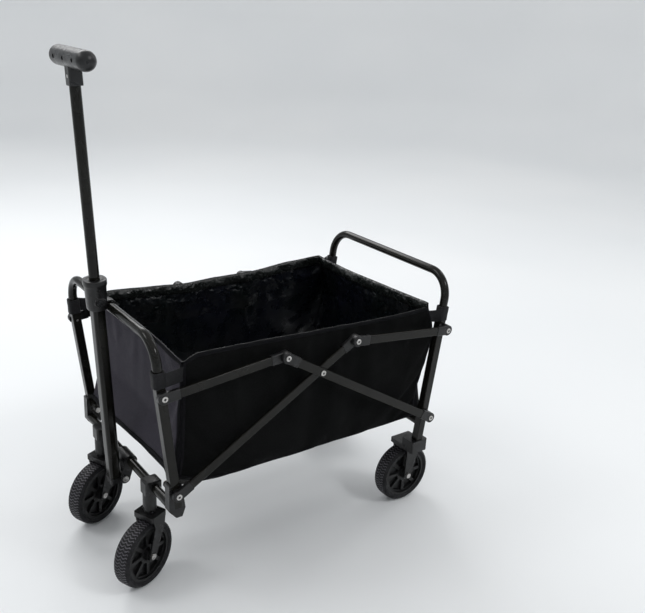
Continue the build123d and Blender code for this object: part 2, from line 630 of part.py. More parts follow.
def linkage_nodes():
    nodes = {}
    nodes["front_braces"] = both(brace(FRONT_LOW, REAR_ELBOW, INNER_LAYER, False))
    nodes["rear_braces"] = both(brace(REAR_LOW, FRONT_ELBOW, OUTER_LAYER, True))
    nodes["front_top_links"] = both(flat_tube(FRONT_TOP, FRONT_ELBOW, INNER_LAYER))
    nodes["rear_top_links"] = both(flat_tube(REAR_TOP, REAR_ELBOW, OUTER_LAYER))
    inner, outer = INNER_LAYER, OUTER_LAYER
    nodes["front_brace_caps"] = both(group(end_cap(FRONT_LOW, REAR_ELBOW, inner, BOSS_Y),
                                           end_cap(REAR_ELBOW, FRONT_LOW, inner, inner[0])))
    nodes["rear_brace_caps"] = both(group(end_cap(REAR_LOW, FRONT_ELBOW, outer, BOSS_Y),
                                          end_cap(FRONT_ELBOW, REAR_LOW, outer, outer[0])))
    nodes["front_top_link_caps"] = both(group(end_cap(FRONT_TOP, FRONT_ELBOW, inner, BOSS_Y),
                                              end_cap(FRONT_ELBOW, FRONT_TOP, inner, inner[0])))
    nodes["rear_top_link_caps"] = both(group(end_cap(REAR_TOP, REAR_ELBOW, outer, BOSS_Y),
                                             end_cap(REAR_ELBOW, REAR_TOP, outer, outer[0])))
    nodes["scissor_rivets"] = crossing_rivets()
    nodes["front_elbow_rivets"] = elbow_rivets(FRONT_ELBOW)
    nodes["rear_elbow_rivets"] = elbow_rivets(REAR_ELBOW)
    return nodes


def wheel_nodes():
    nodes = {}
    housing, fork = caster_housing(), rear_fork()
    nodes["caster_housings"] = both(housing)
    nodes["rear_fork_right"], nodes["rear_fork_left"] = fork, left(fork)
    rear_x = REAR_LOW[0] - REAR_WHEEL_IN
    nodes["rear_axles"] = both(Pos(rear_x, REAR_WHEEL_Y, WHEEL_R) * axle())
    for name, side in (("left", -1), ("right", 1)):
        place = caster_place(side)
        raised = place * Pos(0, 0, WHEEL_R)
        nodes[f"caster_fork_{name}"] = place * caster_fork()
        nodes[f"caster_axle_{name}"] = raised * axle()
        nodes[f"front_hub_{name}"] = raised * hub()
        nodes[f"front_tyre_{name}"] = raised * tyre()
        raised = Pos(rear_x, side * REAR_WHEEL_Y, WHEEL_R)
        nodes[f"rear_hub_{name}"] = raised * hub()
        nodes[f"rear_tyre_{name}"] = raised * tyre()
    return nodes


def handle_nodes():
    return {"handle_bracket": handle_bracket(), "handle_pivot_bolt": handle_bolt(),
            "handle_outer_tube": outer_tube(), "handle_knuckle": handle_knuckle(),
            "handle_collar": collar(), "lock_button": lock_button(),
            "handle_inner_tube": inner_tube(), "handle_grip": grip(), "grip_screws": grip_screws()}


def bag_nodes():
    nodes = {"bag_front_wall": end_wall(-1), "bag_rear_wall": end_wall(1)}
    nodes["bag_front_floor"], nodes["bag_rear_floor"] = bag_floor(-1), bag_floor(1)
    nodes["bag_side_right"], nodes["bag_side_left"] = side_wall(), left(side_wall())
    nodes["front_floor_rails"] = both(floor_rail(FRONT_LOW, FRONT_RAIL_Y))
    nodes["rear_floor_rails"] = both(floor_rail(REAR_LOW, REAR_RAIL_Y))
    nodes["front_floor_board"] = floor_board(FRONT_LOW, -1)
    nodes["rear_floor_board"] = floor_board(REAR_LOW, 1)
    nodes["front_floor_bars"] = floor_bars(FRONT_LOW, -1, FRONT_RAIL_Y[0])
    nodes["rear_floor_bars"] = floor_bars(REAR_LOW, 1, REAR_RAIL_Y[0])
    nodes["closing_straps"] = closing_straps()
    return nodes


os.makedirs("parts", exist_ok=True)
all_nodes = {**frame_nodes(), **linkage_nodes(), **wheel_nodes(), **handle_nodes(), **bag_nodes()}
for node_name, shape in all_nodes.items():
    export_step(shape, f"parts/{node_name}.step")
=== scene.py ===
import bmesh
import bpy
import json
import math
from mathutils import Matrix, Vector, noise

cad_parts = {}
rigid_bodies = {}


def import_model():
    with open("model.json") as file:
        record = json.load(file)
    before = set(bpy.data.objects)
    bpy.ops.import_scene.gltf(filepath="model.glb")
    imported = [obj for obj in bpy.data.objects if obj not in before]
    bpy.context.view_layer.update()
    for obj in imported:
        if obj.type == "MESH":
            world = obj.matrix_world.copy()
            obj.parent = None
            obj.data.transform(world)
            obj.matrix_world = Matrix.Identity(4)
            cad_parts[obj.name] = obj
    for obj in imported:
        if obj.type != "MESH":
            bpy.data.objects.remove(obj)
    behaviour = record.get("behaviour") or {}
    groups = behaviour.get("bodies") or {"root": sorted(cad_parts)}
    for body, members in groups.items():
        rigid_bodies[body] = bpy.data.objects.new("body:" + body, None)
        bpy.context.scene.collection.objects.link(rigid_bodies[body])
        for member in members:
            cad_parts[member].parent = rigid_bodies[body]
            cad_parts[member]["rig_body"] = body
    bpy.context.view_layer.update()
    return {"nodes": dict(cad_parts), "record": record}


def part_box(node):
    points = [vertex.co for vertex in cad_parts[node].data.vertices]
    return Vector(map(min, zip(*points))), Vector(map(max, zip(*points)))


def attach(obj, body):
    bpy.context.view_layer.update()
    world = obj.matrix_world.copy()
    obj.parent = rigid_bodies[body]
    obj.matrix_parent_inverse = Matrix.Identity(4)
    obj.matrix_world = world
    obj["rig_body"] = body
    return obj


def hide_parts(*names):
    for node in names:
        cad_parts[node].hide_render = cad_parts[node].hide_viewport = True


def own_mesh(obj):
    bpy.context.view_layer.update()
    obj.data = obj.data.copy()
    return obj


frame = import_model()
nodes = frame["nodes"]
MM = 0.001

# ---------------------------------------------------------------- camera, stage and lamps
CAMERA_PLACE = (-0.9634, -1.5697, 1.2387)
CAMERA_YAW, CAMERA_PITCH, CAMERA_ROLL = -0.64146, 0.35947, 0.05355
CAMERA_LENS = 46.17
CAMERA_SENSOR = 36
STAGE_PROFILE = [(0, 0), (1.5, 0), (4.0, 0), (5.5, 0.05), (6.5, 0.35), (7.2, 1.0), (7.5, 2.0), (7.6, 4.5)]
STAGE_STEPS = 96
WORLD_COLOUR = (0.90, 0.905, 0.91, 1)
WORLD_STRENGTH = 0.79


def add_camera():
    """Camera that shows the standing wagon from its near front corner, a little from above."""
    yaw, pitch, roll = CAMERA_YAW, CAMERA_PITCH, CAMERA_ROLL
    back = Vector((math.sin(yaw) * math.cos(pitch), -math.cos(yaw) * math.cos(pitch), math.sin(pitch)))
    level = Vector((math.cos(yaw), math.sin(yaw), 0))
    upright = back.cross(level)
    right = math.cos(roll) * level + math.sin(roll) * upright
    up = -math.sin(roll) * level + math.cos(roll) * upright
    data = bpy.data.cameras.new("camera")
    data.lens, data.sensor_width, data.sensor_fit = CAMERA_LENS, CAMERA_SENSOR, "HORIZONTAL"
    camera = bpy.data.objects.new("camera", data)
    bpy.context.scene.collection.objects.link(camera)
    turn = Matrix((right, up, back)).transposed().to_4x4()
    camera.matrix_world = Matrix.Translation(CAMERA_PLACE) @ turn
    bpy.context.scene.camera = camera


def add_lamp(name, place, aim, size, power):
    data = bpy.data.lights.new(name, "AREA")
    data.shape, data.size, data.size_y = "RECTANGLE", size[0], size[1]
    data.energy = power
    lamp = bpy.data.objects.new(name, data)
    bpy.context.scene.collection.objects.link(lamp)
    lamp.location = place
    lamp.rotation_euler = (Vector(aim) - Vector(place)).to_track_quat("-Z", "Y").to_euler()


def add_stage():
    """Pale studio floor that sweeps up into a wall all round, far from the wagon."""
    mesh = bmesh.new()
    profile = [mesh.verts.new((reach, 0, height)) for reach, height in STAGE_PROFILE]
    edges = [mesh.edges.new(pair) for pair in zip(profile, profile[1:])]
    bmesh.ops.spin(mesh, geom=profile + edges, cent=(0, 0, 0), axis=(0, 0, 1), angle=math.tau,
                   steps=STAGE_STEPS, use_merge=True)
    bmesh.ops.remove_doubles(mesh, verts=mesh.verts, dist=1e-4)
    floor = new_piece("studio_floor", mesh, [studio_paint()])


def light_world():
    bpy.context.scene.view_settings.view_transform = "Standard"
    world = bpy.data.worlds.new("studio")
    bpy.context.scene.world = world
    world.use_nodes = True
    background = world.node_tree.nodes["Background"]
    background.inputs["Color"].default_value = WORLD_COLOUR
    background.inputs["Strength"].default_value = WORLD_STRENGTH


# ---------------------------------------------------------------- making pieces
def new_piece(name, mesh, finishes):
    """Turns a bmesh into an object at the origin with its finishes."""
    data = bpy.data.meshes.new(name)
    mesh.to_mesh(data)
    mesh.free()
    piece = bpy.data.objects.new(name, data)
    bpy.context.scene.collection.objects.link(piece)
    for finish in finishes:
        data.materials.append(finish)
    data.polygons.foreach_set("use_smooth", [True] * len(data.polygons))
    return piece


def keep_modifier(piece):
    """Makes the evaluated mesh the piece's own mesh and drops its modifiers."""
    graph = bpy.context.evaluated_depsgraph_get()
    data = bpy.data.meshes.new_from_object(piece.evaluated_get(graph), preserve_all_data_layers=True,
                                           depsgraph=graph)
    piece.modifiers.clear()
    piece.data = data
    return piece


def give_wall(piece, thickness, offset=0.0, soft=0.0):
    """Thickness for a sheet, with rounded edges where soft is given."""
    wall = piece.modifiers.new("wall", "SOLIDIFY")
    wall.thickness, wall.offset = thickness, offset
    if soft:
        edge = piece.modifiers.new("soft", "BEVEL")
        edge.width, edge.segments = soft, 2
    return keep_modifier(piece)


def curve_value(points, x):
    """Height of a smooth line through the points at x."""
    if x <= points[0][0]:
        return points[0][1]
    for (x0, y0), (x1, y1) in zip(points, points[1:]):
        if x <= x1:
            part = (x - x0) / (x1 - x0)
            part = part * part * (3 - 2 * part) * 0.5 + part * 0.5
            return y0 + (y1 - y0) * part
    return points[-1][1]


# ---------------------------------------------------------------- finishes
class Finish:
    """Small helper that wires one node material."""

    def __init__(self, name, colour, roughness, **values):
        self.material = bpy.data.materials.new(name)
        self.material.use_nodes = True
        self.tree = self.material.node_tree
        self.shader = self.tree.nodes["Principled BSDF"]
        self.shader.inputs["Base Color"].default_value = (*colour, 1)
        self.shader.inputs["Roughness"].default_value = roughness
        for key, value in values.items():
            self.shader.inputs[key.replace("_", " ")].default_value = value
        self.bump_end = None

    def node(self, kind, **settings):
        made = self.tree.nodes.new(kind)
        for key, value in settings.items():
            if key in made.inputs:
                made.inputs[key].default_value = value
            else:
                setattr(made, key, value)
        return made

    def join(self, source, target, out=0):
        self.tree.links.new(source.outputs[out], target)

    def place(self, use_uv=False, stretch=(1, 1, 1)):
        coordinates = self.node("ShaderNodeTexCoord")
        mapping = self.node("ShaderNodeMapping")
        mapping.inputs["Scale"].default_value = stretch
        self.tree.links.new(coordinates.outputs["UV" if use_uv else "Object"], mapping.inputs["Vector"])
        return mapping

    def grain(self, scale, detail=3.0, use_uv=False, stretch=(1, 1, 1), rough=0.5):
        made = self.node("ShaderNodeTexNoise", Scale=scale, Detail=detail, Roughness=rough)
        self.join(self.place(use_uv, stretch), made.inputs["Vector"])
        return made

    def ramp(self, source, low, high, start=0.35, end=0.65, out=0):
        made = self.node("ShaderNodeMapRange")
        made.inputs["From Min"].default_value, made.inputs["From Max"].default_value = start, end
        made.inputs["To Min"].default_value, made.inputs["To Max"].default_value = low, high
        self.join(source, made.inputs["Value"], out)
        return made

    def tint(self, source, first, second, start=0.35, end=0.65):
        """Base colour that moves between two tones with a pattern."""
        share = self.ramp(source, 0, 1, start, end)
        mix = self.node("ShaderNodeMix", data_type="RGBA")
        mix.inputs[6].default_value, mix.inputs[7].default_value = (*first, 1), (*second, 1)
        self.join(share, mix.inputs[0])
        self.tree.links.new(mix.outputs[2], self.shader.inputs["Base Color"])

    def bump(self, source, strength, distance, out=0):
        made = self.node("ShaderNodeBump", Strength=strength, Distance=distance)
        self.join(source, made.inputs["Height"], out)
        if self.bump_end:
            self.join(self.bump_end, made.inputs["Normal"])
        self.join(made, self.shader.inputs["Normal"])
        self.bump_end = made


def wave_scale(pitch):
    """Scale at which a wave texture repeats every pitch metres."""
    return math.pi / pitch / 10


def studio_paint():
    finish = Finish("studio_paint", (0.82, 0.84, 0.85), 0.62)
    finish.tint(finish.grain(0.6, 2), (0.80, 0.82, 0.835), (0.84, 0.855, 0.865))
    return finish.material


def tube_coat():
    """Satin black powder coat with a faint orange peel and rubbed patches."""
    finish = Finish("tube_coat", (0.006, 0.0058, 0.0048), 0.18, Specular_IOR_Level=0.22)
    finish.join(finish.ramp(finish.grain(38, 4), 0.12, 0.22), finish.shader.inputs["Roughness"])
    finish.tint(finish.grain(14, 3), (0.0045, 0.0044, 0.0036), (0.0085, 0.0082, 0.0066))
    finish.bump(finish.grain(420, 2), 0.05, 0.0002)
    return finish.material


def moulded_black(name, colour, low, high, grain_size=900.0, depth=0.25):
    """Moulded plastic with a fine spark-eroded grain."""
    finish = Finish(name, colour, (low + high) / 2, Specular_IOR_Level=0.36)
    finish.join(finish.ramp(finish.grain(60, 4), low, high), finish.shader.inputs["Roughness"])
    finish.tint(finish.grain(25, 3), colour, tuple(c * 1.5 for c in colour))
    finish.bump(finish.grain(grain_size, 2), depth, 0.0003)
    return finish.material


def tyre_rubber():
    finish = Finish("tyre_rubber", (0.006, 0.006, 0.007), 0.6, Specular_IOR_Level=0.25)
    finish.join(finish.ramp(finish.grain(90, 4), 0.5, 0.75), finish.shader.inputs["Roughness"])
    finish.tint(finish.grain(220, 4), (0.004, 0.004, 0.005), (0.011, 0.0105, 0.0125), 0.42, 0.7)
    finish.bump(finish.grain(700, 3), 0.5, 0.0005)
    return finish.material


def tread_highlight_paint():
    """Tops of the tread ribs, painted lighter with a purple tint: a painted highlight on the ribs."""
    finish = Finish("tread_highlight_paint", (0.03, 0.029, 0.034), 0.5, Specular_IOR_Level=0.45)
    finish.tint(finish.grain(320, 4), (0.02, 0.0195, 0.023), (0.10, 0.095, 0.112), 0.38, 0.68)
    finish.bump(finish.grain(800, 3), 0.6, 0.0006)
    return finish.material


def bright_metal():
    finish = Finish("bright_metal", (0.48, 0.47, 0.45), 0.3, Metallic=1.0)
    finish.join(finish.ramp(finish.grain(160, 4, stretch=(1, 6, 1)), 0.22, 0.42),
                finish.shader.inputs["Roughness"])
    finish.tint(finish.grain(240, 3), (0.34, 0.33, 0.32), (0.62, 0.61, 0.59))
    return finish.material


def woven_cloth(name, dark, light, pitch=0.0011, strength=0.35, sheen=0.015):
    """Plain weave in polyester with slubs; the weave follows the piece's own cut, in metres."""
    finish = Finish(name, dark, 0.78, Sheen_Weight=sheen, Sheen_Roughness=0.45, Specular_IOR_Level=0.05)
    finish.shader.inputs["Sheen Tint"].default_value = (0.75, 0.74, 0.82, 1)
    finish.tint(finish.grain(260, 5, True, rough=0.65), dark, light, 0.36, 0.68)
    finish.join(finish.ramp(finish.grain(9, 3, True), 0.70, 0.88), finish.shader.inputs["Roughness"])
    for direction in ("X", "Y"):
        thread = finish.node("ShaderNodeTexWave", Scale=wave_scale(pitch), Distortion=0.6, Detail=1.0)
        thread.bands_direction = direction
        finish.join(finish.place(True), thread.inputs["Vector"])
        finish.bump(thread, strength, 0.00025, 1)
    finish.bump(finish.grain(320, 4, True), 0.30, 0.0006)
    finish.bump(finish.grain(24, 3, True), 0.22, 0.004)
    return finish.material


def coated_lining(name="coated_lining", dark=(0.002, 0.0034, 0.0036), light=(0.003, 0.0036, 0.0072), crumple=0.9,
                  edge=(0.20, 0.25)):
    """Glossy coating on the cloth's inner face; the crumples come in between the two heights of edge."""
    finish = Finish(name, dark, 0.24, Specular_IOR_Level=0.5)
    finish.tint(finish.grain(7, 3, True), dark, light)
    finish.join(finish.ramp(finish.grain(30, 4, True), 0.2, 0.38), finish.shader.inputs["Roughness"])
    finish.bump(finish.grain(6, 2, True), 0.45, 0.016)
    rim = finish.node("ShaderNodeSeparateXYZ")
    finish.join(finish.place(True), rim.inputs[0])
    near_rim = finish.ramp(rim, 0.0, 1.0, edge[0], edge[1], out=1)
    folds = finish.node("ShaderNodeMath", operation="MULTIPLY")
    finish.join(near_rim, folds.inputs[0])
    finish.join(finish.grain(24, 3, True, rough=0.55), folds.inputs[1])
    finish.bump(folds, crumple, 0.018)
    finish.bump(finish.grain(60, 2, True), 0.14, 0.0012)
    finish.bump(finish.grain(900, 2, True), 0.12, 0.0002)
    return finish.material


def ribbed_webbing():
    """Webbing with fine ribs across it."""
    colour = (0.005, 0.005, 0.0058)
    finish = Finish("ribbed_webbing", colour, 0.7, Sheen_Weight=0.08, Sheen_Roughness=0.4, Specular_IOR_Level=0.2)
    finish.tint(finish.grain(300, 4), colour, tuple(c * 2.1 for c in colour))
    rib = finish.node("ShaderNodeTexWave", Scale=wave_scale(0.0016), Distortion=0.4, Detail=1.0)
    rib.bands_direction = "Z"
    finish.join(finish.place(), rib.inputs["Vector"])
    finish.bump(rib, 0.5, 0.0005, 1)
    finish.bump(finish.grain(500, 3), 0.3, 0.0004)
    return finish.material


def pressed_board():
    finish = Finish("pressed_board", (0.02, 0.019, 0.018), 0.66)
    finish.tint(finish.grain(60, 5), (0.014, 0.013, 0.012), (0.034, 0.031, 0.028))
    finish.bump(finish.grain(260, 4), 0.4, 0.0006)
    return finish.material


def make_finishes():
    made = {
        "black_tube": tube_coat(),
        "black_plastic": moulded_black("moulded_black", (0.005, 0.005, 0.0053), 0.26, 0.42),
        "grip_plastic": moulded_black("grip_plastic", (0.008, 0.0083, 0.009), 0.26, 0.40, 700.0, 0.4),
        "hub_plastic": moulded_black("hub_plastic", (0.0035, 0.0035, 0.0038), 0.36, 0.52),
        "tyre": tyre_rubber(),
        "bright_metal": bright_metal(),
        # Side walls' cloth, painted darker to the tone of the shaded sides: painted shade. The end walls take a
        # lighter copy of the same cloth.
        "bag_cloth": woven_cloth("bag_cloth", (0.0018, 0.0020, 0.0020), (0.0045, 0.0048, 0.0048)),
        "webbing": ribbed_webbing(),
        "floor_board": pressed_board(),
    }
    made["glossy_plastic"] = moulded_black("glossy_plastic", (0.006, 0.0062, 0.0066), 0.12, 0.22)
    made["tread_highlight_paint"] = tread_highlight_paint()
    # End walls: the same cloth as the sides, painted several times lighter as painted light falling on the end
    # walls.
    made["lit_end_cloth"] = woven_cloth("lit_end_cloth", (0.0125, 0.0112, 0.0152), (0.0300, 0.0265, 0.0370), sheen=0.18)
    made["lining"] = coated_lining()
    made["floor_lining"] = coated_lining("floor_lining", crumple=0.1, edge=(2, 3))
    # Rim hem: a lighter, greener copy of the lining, a painted sheen of the light on the turned hem.
    made["sheen_hem_lining"] = coated_lining("sheen_hem_lining", (0.0045, 0.0062, 0.0055), (0.009, 0.0105, 0.010), 1.0)
    made["binding"] = woven_cloth("binding_tape", (0.004, 0.004, 0.0048), (0.009, 0.009, 0.0105), 0.0016, 0.5)
    return made


# ---------------------------------------------------------------- bag: seam lines, in millimetres
FRONT_SEAM = [(286, -305, 216), (330, -299, 217), (400, -297, 219), (470, -297, 222), (520, -297, 225),
              (553, -296, 226)]
REAR_SEAM = [(266, 352, 216), (300, 348, 217), (330, 348, 219), (370, 358, 221), (410, 368, 223),
             (450, 376, 225), (480, 380, 226), (515, 372, 226), (551, 356, 226)]
NEAR_RIM = [(-296, 551), (-284, 557), (-266, 564), (-141, 561), (42, 554), (200, 549), (268, 548),
            (330, 550), (356, 552)]
FAR_RIM = [(-296, 549), (-262, 552), (-156, 545), (-66, 538), (20, 541), (120, 540), (258, 551), (356, 554)]
SIDE_HEM = [(-305, 287), (-280, 276), (-245, 261), (-200, 256.5), (0, 255.5), (352, 255.5)]
FRONT_RIM = [(-226, 551), (-214, 550), (-165, 553), (-56, 557), (100, 558), (226, 550)]
REAR_RIM = [(-226, 552), (-219, 562), (-95, 561), (69, 556), (226, 554)]
FRONT_HEM = [(-216, 291), (-185, 301), (-120, 301), (0, 295), (100, 289), (216, 289)]
REAR_HEM = [(-216, 266), (216, 266)]


def seam_point(seam, z, side):
    xs = [(row[0], row[1]) for row in seam]
    ys = [(row[0], row[2]) for row in seam]
    return curve_value(xs, z), side * curve_value(ys, z)


def side_place(side):
    """Maps a cut's u (front to rear) and v (hem to rim) to the long side wall."""
    rim = NEAR_RIM if side < 0 else FAR_RIM

    def place(u, v):
        x_guess = -300 + 655 * u
        low, high = curve_value(SIDE_HEM, x_guess), curve_value(rim, x_guess)
        z = low + (high - low) * v
        front_x, front_y = seam_point(FRONT_SEAM, z, side)
        rear_x, rear_y = seam_point(REAR_SEAM, z, side)
        x = front_x + (rear_x - front_x) * u
        y = front_y + (rear_y - front_y) * u
        return Vector((x, y, z)) * MM
    return place


def end_place(sign):
    """Maps u (near to far) and v (hem to rim) to an end wall; sign is -1 at the front."""
    seam, rim, hem = (FRONT_SEAM, FRONT_RIM, FRONT_HEM) if sign < 0 else (REAR_SEAM, REAR_RIM, REAR_HEM)
    hem_x, rim_x, steep = (-315, -293, 4) if sign < 0 else (366, 347, 3.5)

    def place(u, v):
        y_guess = -220 + 440 * u
        low, high = curve_value(hem, y_guess), curve_value(rim, y_guess)
        z = low + (high - low) * v
        x, y = seam_point(seam, z, 1)
        y = -y + 2 * y * u
        middle = hem_x + (rim_x - hem_x) * v
        pull = min(1, steep * min(u, 1 - u)) ** 0.8
        x = x + (middle - x) * pull
        return Vector((x, y, z)) * MM
    return place


GRID_STEP = 7.5
RIM_HEM, RIM_TAPE, FOOT_TAPE, SEAM_TAPE = 0.026, 0.0075, 0.0130, 0.0075
HEM_LIFT, HEM_RIPPLE, HEM_CROWN = -0.0016, 0.0016, 0.0042
TAPE_LIFT, TAPE_WALL, FOOT_TAPE_WALL = 0.0003, 0.0010, 0.0012
CLOTH_WALL = 0.0014
START_RIPPLE = 0.004
DRAPE_FRAMES, CLOTH_STIFFNESS = 34, 14
SIDE_WALL_REACH = (0.2150, 0.2355)


def cut_panel(name, place, width, height, outward):
    """Cloth panel on a grid, its cut size kept as a UV map in metres."""
    columns, rows = round(width / GRID_STEP), round(height / GRID_STEP)
    mesh = bmesh.new()
    bmesh.ops.create_grid(mesh, x_segments=columns, y_segments=rows, size=0.5, calc_uvs=False)
    layer = mesh.loops.layers.uv.new("cut")
    for face in mesh.faces:
        for loop in face.loops:
            loop[layer].uv = ((loop.vert.co.x + 0.5) * width * MM, (loop.vert.co.y + 0.5) * height * MM)
    weights = mesh.verts.layers.float.new("tied")
    for vert in mesh.verts:
        u, v = vert.co.x + 0.5, vert.co.y + 0.5
        vert[weights] = 1.0 if min(u, 1 - u) < 1e-4 or min(v, 1 - v) < 1e-4 else 0.0
        vert.co = place(u, v)
    mesh.normal_update()
    middle = sum((f.normal for f in mesh.faces), Vector())
    if middle.dot(outward) < 0:
        bmesh.ops.reverse_faces(mesh, faces=mesh.faces)
    return new_piece(name, mesh, [])


def loosen(piece, outward, seed, belly):
    """Uneven slack before the simulation, so that the folds differ from panel to panel."""
    shift = Vector((seed * 3.1, seed * 1.7, seed * 0.9))
    tied = piece.data.attributes["tied"].data
    for vert, mark in zip(piece.data.vertices, tied):
        if mark.value > 0.5:
            continue
        lean = math.copysign(0.55, noise.noise(vert.co * 3 + shift))
        slant = vert.co.z + (vert.co.x + vert.co.y) * lean
        across = vert.co.z * 0.5 - vert.co.x - vert.co.y
        wave = noise.noise(Vector((slant * 26, across * 6, 0)) + shift)
        wave += 0.5 * noise.noise(vert.co * 12 + shift)
        vert.co += outward * (belly + START_RIPPLE * wave)


def drape(piece, slack):
    """Cloth simulation of a panel held along its seams; the result becomes its mesh."""
    group = piece.vertex_groups.new(name="held")
    tied = piece.data.attributes["tied"].data
    group.add([i for i, mark in enumerate(tied) if mark.value > 0.5], 1.0, "REPLACE")
    cloth = piece.modifiers.new("drape", "CLOTH")
    values = cloth.settings
    values.quality, values.mass = 6, 0.25
    values.tension_stiffness = values.compression_stiffness = CLOTH_STIFFNESS
    values.shear_stiffness, values.bending_stiffness = CLOTH_STIFFNESS * 0.4, 12.0
    values.tension_damping = values.compression_damping = values.shear_damping = 12
    values.air_damping = 2.5
    values.shrink_min = -slack
    values.vertex_group_mass = "held"
    cloth.collision_settings.use_collision = False
    cloth.collision_settings.use_self_collision = False
    cloth.point_cache.frame_start, cloth.point_cache.frame_end = 1, DRAPE_FRAMES
    scene = bpy.context.scene
    for frame_number in range(1, DRAPE_FRAMES + 1):
        scene.frame_set(frame_number)
    keep_modifier(piece)
    scene.frame_set(1)


def hold_between(piece, low_y, high_y):
    """Keeps a side wall between the rails and the braces."""
    give = 0.004
    soft = high_y - give
    for vert in piece.data.vertices:
        side = 1 if vert.co.y > 0 else -1
        reach = abs(vert.co.y)
        if reach > soft:
            reach = soft + give * (1 - math.exp(-(reach - soft) / give))
        vert.co.y = side * max(low_y, reach)


# The folded floor's cloth in the side view: its distance at its foot, by end, and how it leans inwards.
FOLDED_FLOOR = {-1: 0.3235, 1: 0.3767}
FOLDED_FLOOR_Z = 0.277
FOLDED_FLOOR_SLOPE = 0.3158
FLOOR_CLEARANCE = 0.0045
CORNER_REACH, CORNER_TAPER = 0.2165, 0.006


def keep_clear(piece, sign):
    """Holds an end wall outside the floor half that folds up against it."""
    for vert in piece.data.vertices:
        limit = FOLDED_FLOOR[sign] - FOLDED_FLOOR_SLOPE * (vert.co.z - FOLDED_FLOOR_Z) + FLOOR_CLEARANCE
        short = limit - sign * vert.co.x
        share = min(1, max(0, (CORNER_REACH - abs(vert.co.y)) / CORNER_TAPER))
        if short > 0:
            vert.co.x += sign * short * share


def smooth_once(piece):
    rounder = piece.modifiers.new("round", "SUBSURF")
    rounder.levels = rounder.render_levels = 1
    rounder.boundary_smooth = "PRESERVE_CORNERS"
    keep_modifier(piece)


def strip_from(piece, name, chosen, lift, thickness, finishes, ripple=0.0, seed=0.0, top=0.0):
    """Tape sewn on a panel: a copy of the faces inside a UV window, lifted off and given a wall.

    With top, the panel's height, the strip is crowned inwards like a turned hem.
    """
    mesh = bmesh.new()
    mesh.from_mesh(piece.data)
    layer = mesh.loops.layers.uv["cut"]
    gone = []
    for face in mesh.faces:
        middle = Vector((0, 0))
        for loop in face.loops:
            middle += loop[layer].uv
        if not chosen(*(middle / len(face.loops))):
            gone.append(face)
    bmesh.ops.delete(mesh, geom=gone, context="FACES")
    mesh.normal_update()
    for vert in mesh.verts:
        push = lift + ripple * noise.noise(vert.co * 38 + Vector((seed, 0, 0)))
        if top:
            share = min(1.0, max(0.0, (top - vert.link_loops[0][layer].uv.y) / RIM_HEM))
            push -= HEM_CROWN * math.sin(math.pi * share) ** 0.7
        vert.co += vert.normal * push
    return give_wall(new_piece(name, mesh, finishes), thickness, 1.0 if lift >= 0 else -1.0)


def wall_thickness(piece, thickness, finishes):
    """Cloth outside and rim, lining inside."""
    for finish in finishes:
        piece.data.materials.append(finish)
    wall = piece.modifiers.new("wall", "SOLIDIFY")
    wall.thickness, wall.offset = thickness, -1.0
    wall.material_offset, wall.material_offset_rim = 1, 0
    keep_modifier(piece)


def go_with_wall(piece, body, folds):
    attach(piece, body)
    if folds:
        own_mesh(piece)


def make_wall(name, node, body, place, size, outward, seed, belly, slack, outside, folds=False):
    """One wall of the bag with its rim hem, rim, foot and seam tapes."""
    width, height = size
    wall = cut_panel(name, place, width, height, outward)
    loosen(wall, outward, seed, belly)
    drape(wall, slack)
    if folds:
        hold_between(wall, *SIDE_WALL_REACH)
    else:
        keep_clear(wall, round(outward.x))
    smooth_once(wall)
    w, h = width * MM, height * MM
    extras = [strip_from(wall, name + "_rim_hem", lambda u, v: v > h - RIM_HEM, HEM_LIFT, TAPE_WALL,
                         [finishes["sheen_hem_lining"]], HEM_RIPPLE, seed, h)]
    for label, chosen, thickness in (("rim_tape", lambda u, v: v > h - RIM_TAPE, TAPE_WALL),
                                     ("foot_tape", lambda u, v: v < FOOT_TAPE, FOOT_TAPE_WALL),
                                     ("seam_tape_a", lambda u, v: u < SEAM_TAPE, TAPE_WALL),
                                     ("seam_tape_b", lambda u, v: u > w - SEAM_TAPE, TAPE_WALL)):
        extras.append(strip_from(wall, f"{name}_{label}", chosen, TAPE_LIFT, thickness, [finishes["binding"]]))
    wall_thickness(wall, CLOTH_WALL, [outside, finishes["lining"]])
    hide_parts(node)
    for piece in [wall, *extras]:
        go_with_wall(piece, body, folds)


def make_bag():
    for sign, name, node in ((-1, "bag_side_near", "bag_side_left"), (1, "bag_side_far", "bag_side_right")):
        make_wall(name, node, "front_frame", side_place(sign), (657, 299), Vector((0, sign, 0)),
                  seed=1.0 if sign < 0 else 2.0, belly=0.003, slack=0.010, outside=finishes["bag_cloth"],
                  folds=True)
    make_wall("bag_end_front", "bag_front_wall", "front_frame", end_place(-1), (446, 262),
              Vector((-1, 0, 0)), seed=3.0, belly=0.004, slack=0.003, outside=finishes["lit_end_cloth"])
    make_wall("bag_end_rear", "bag_rear_wall", "rear_frame", end_place(1), (448, 290),
              Vector((1, 0, 0)), seed=4.0, belly=0.004, slack=0.004, outside=finishes["lit_end_cloth"])


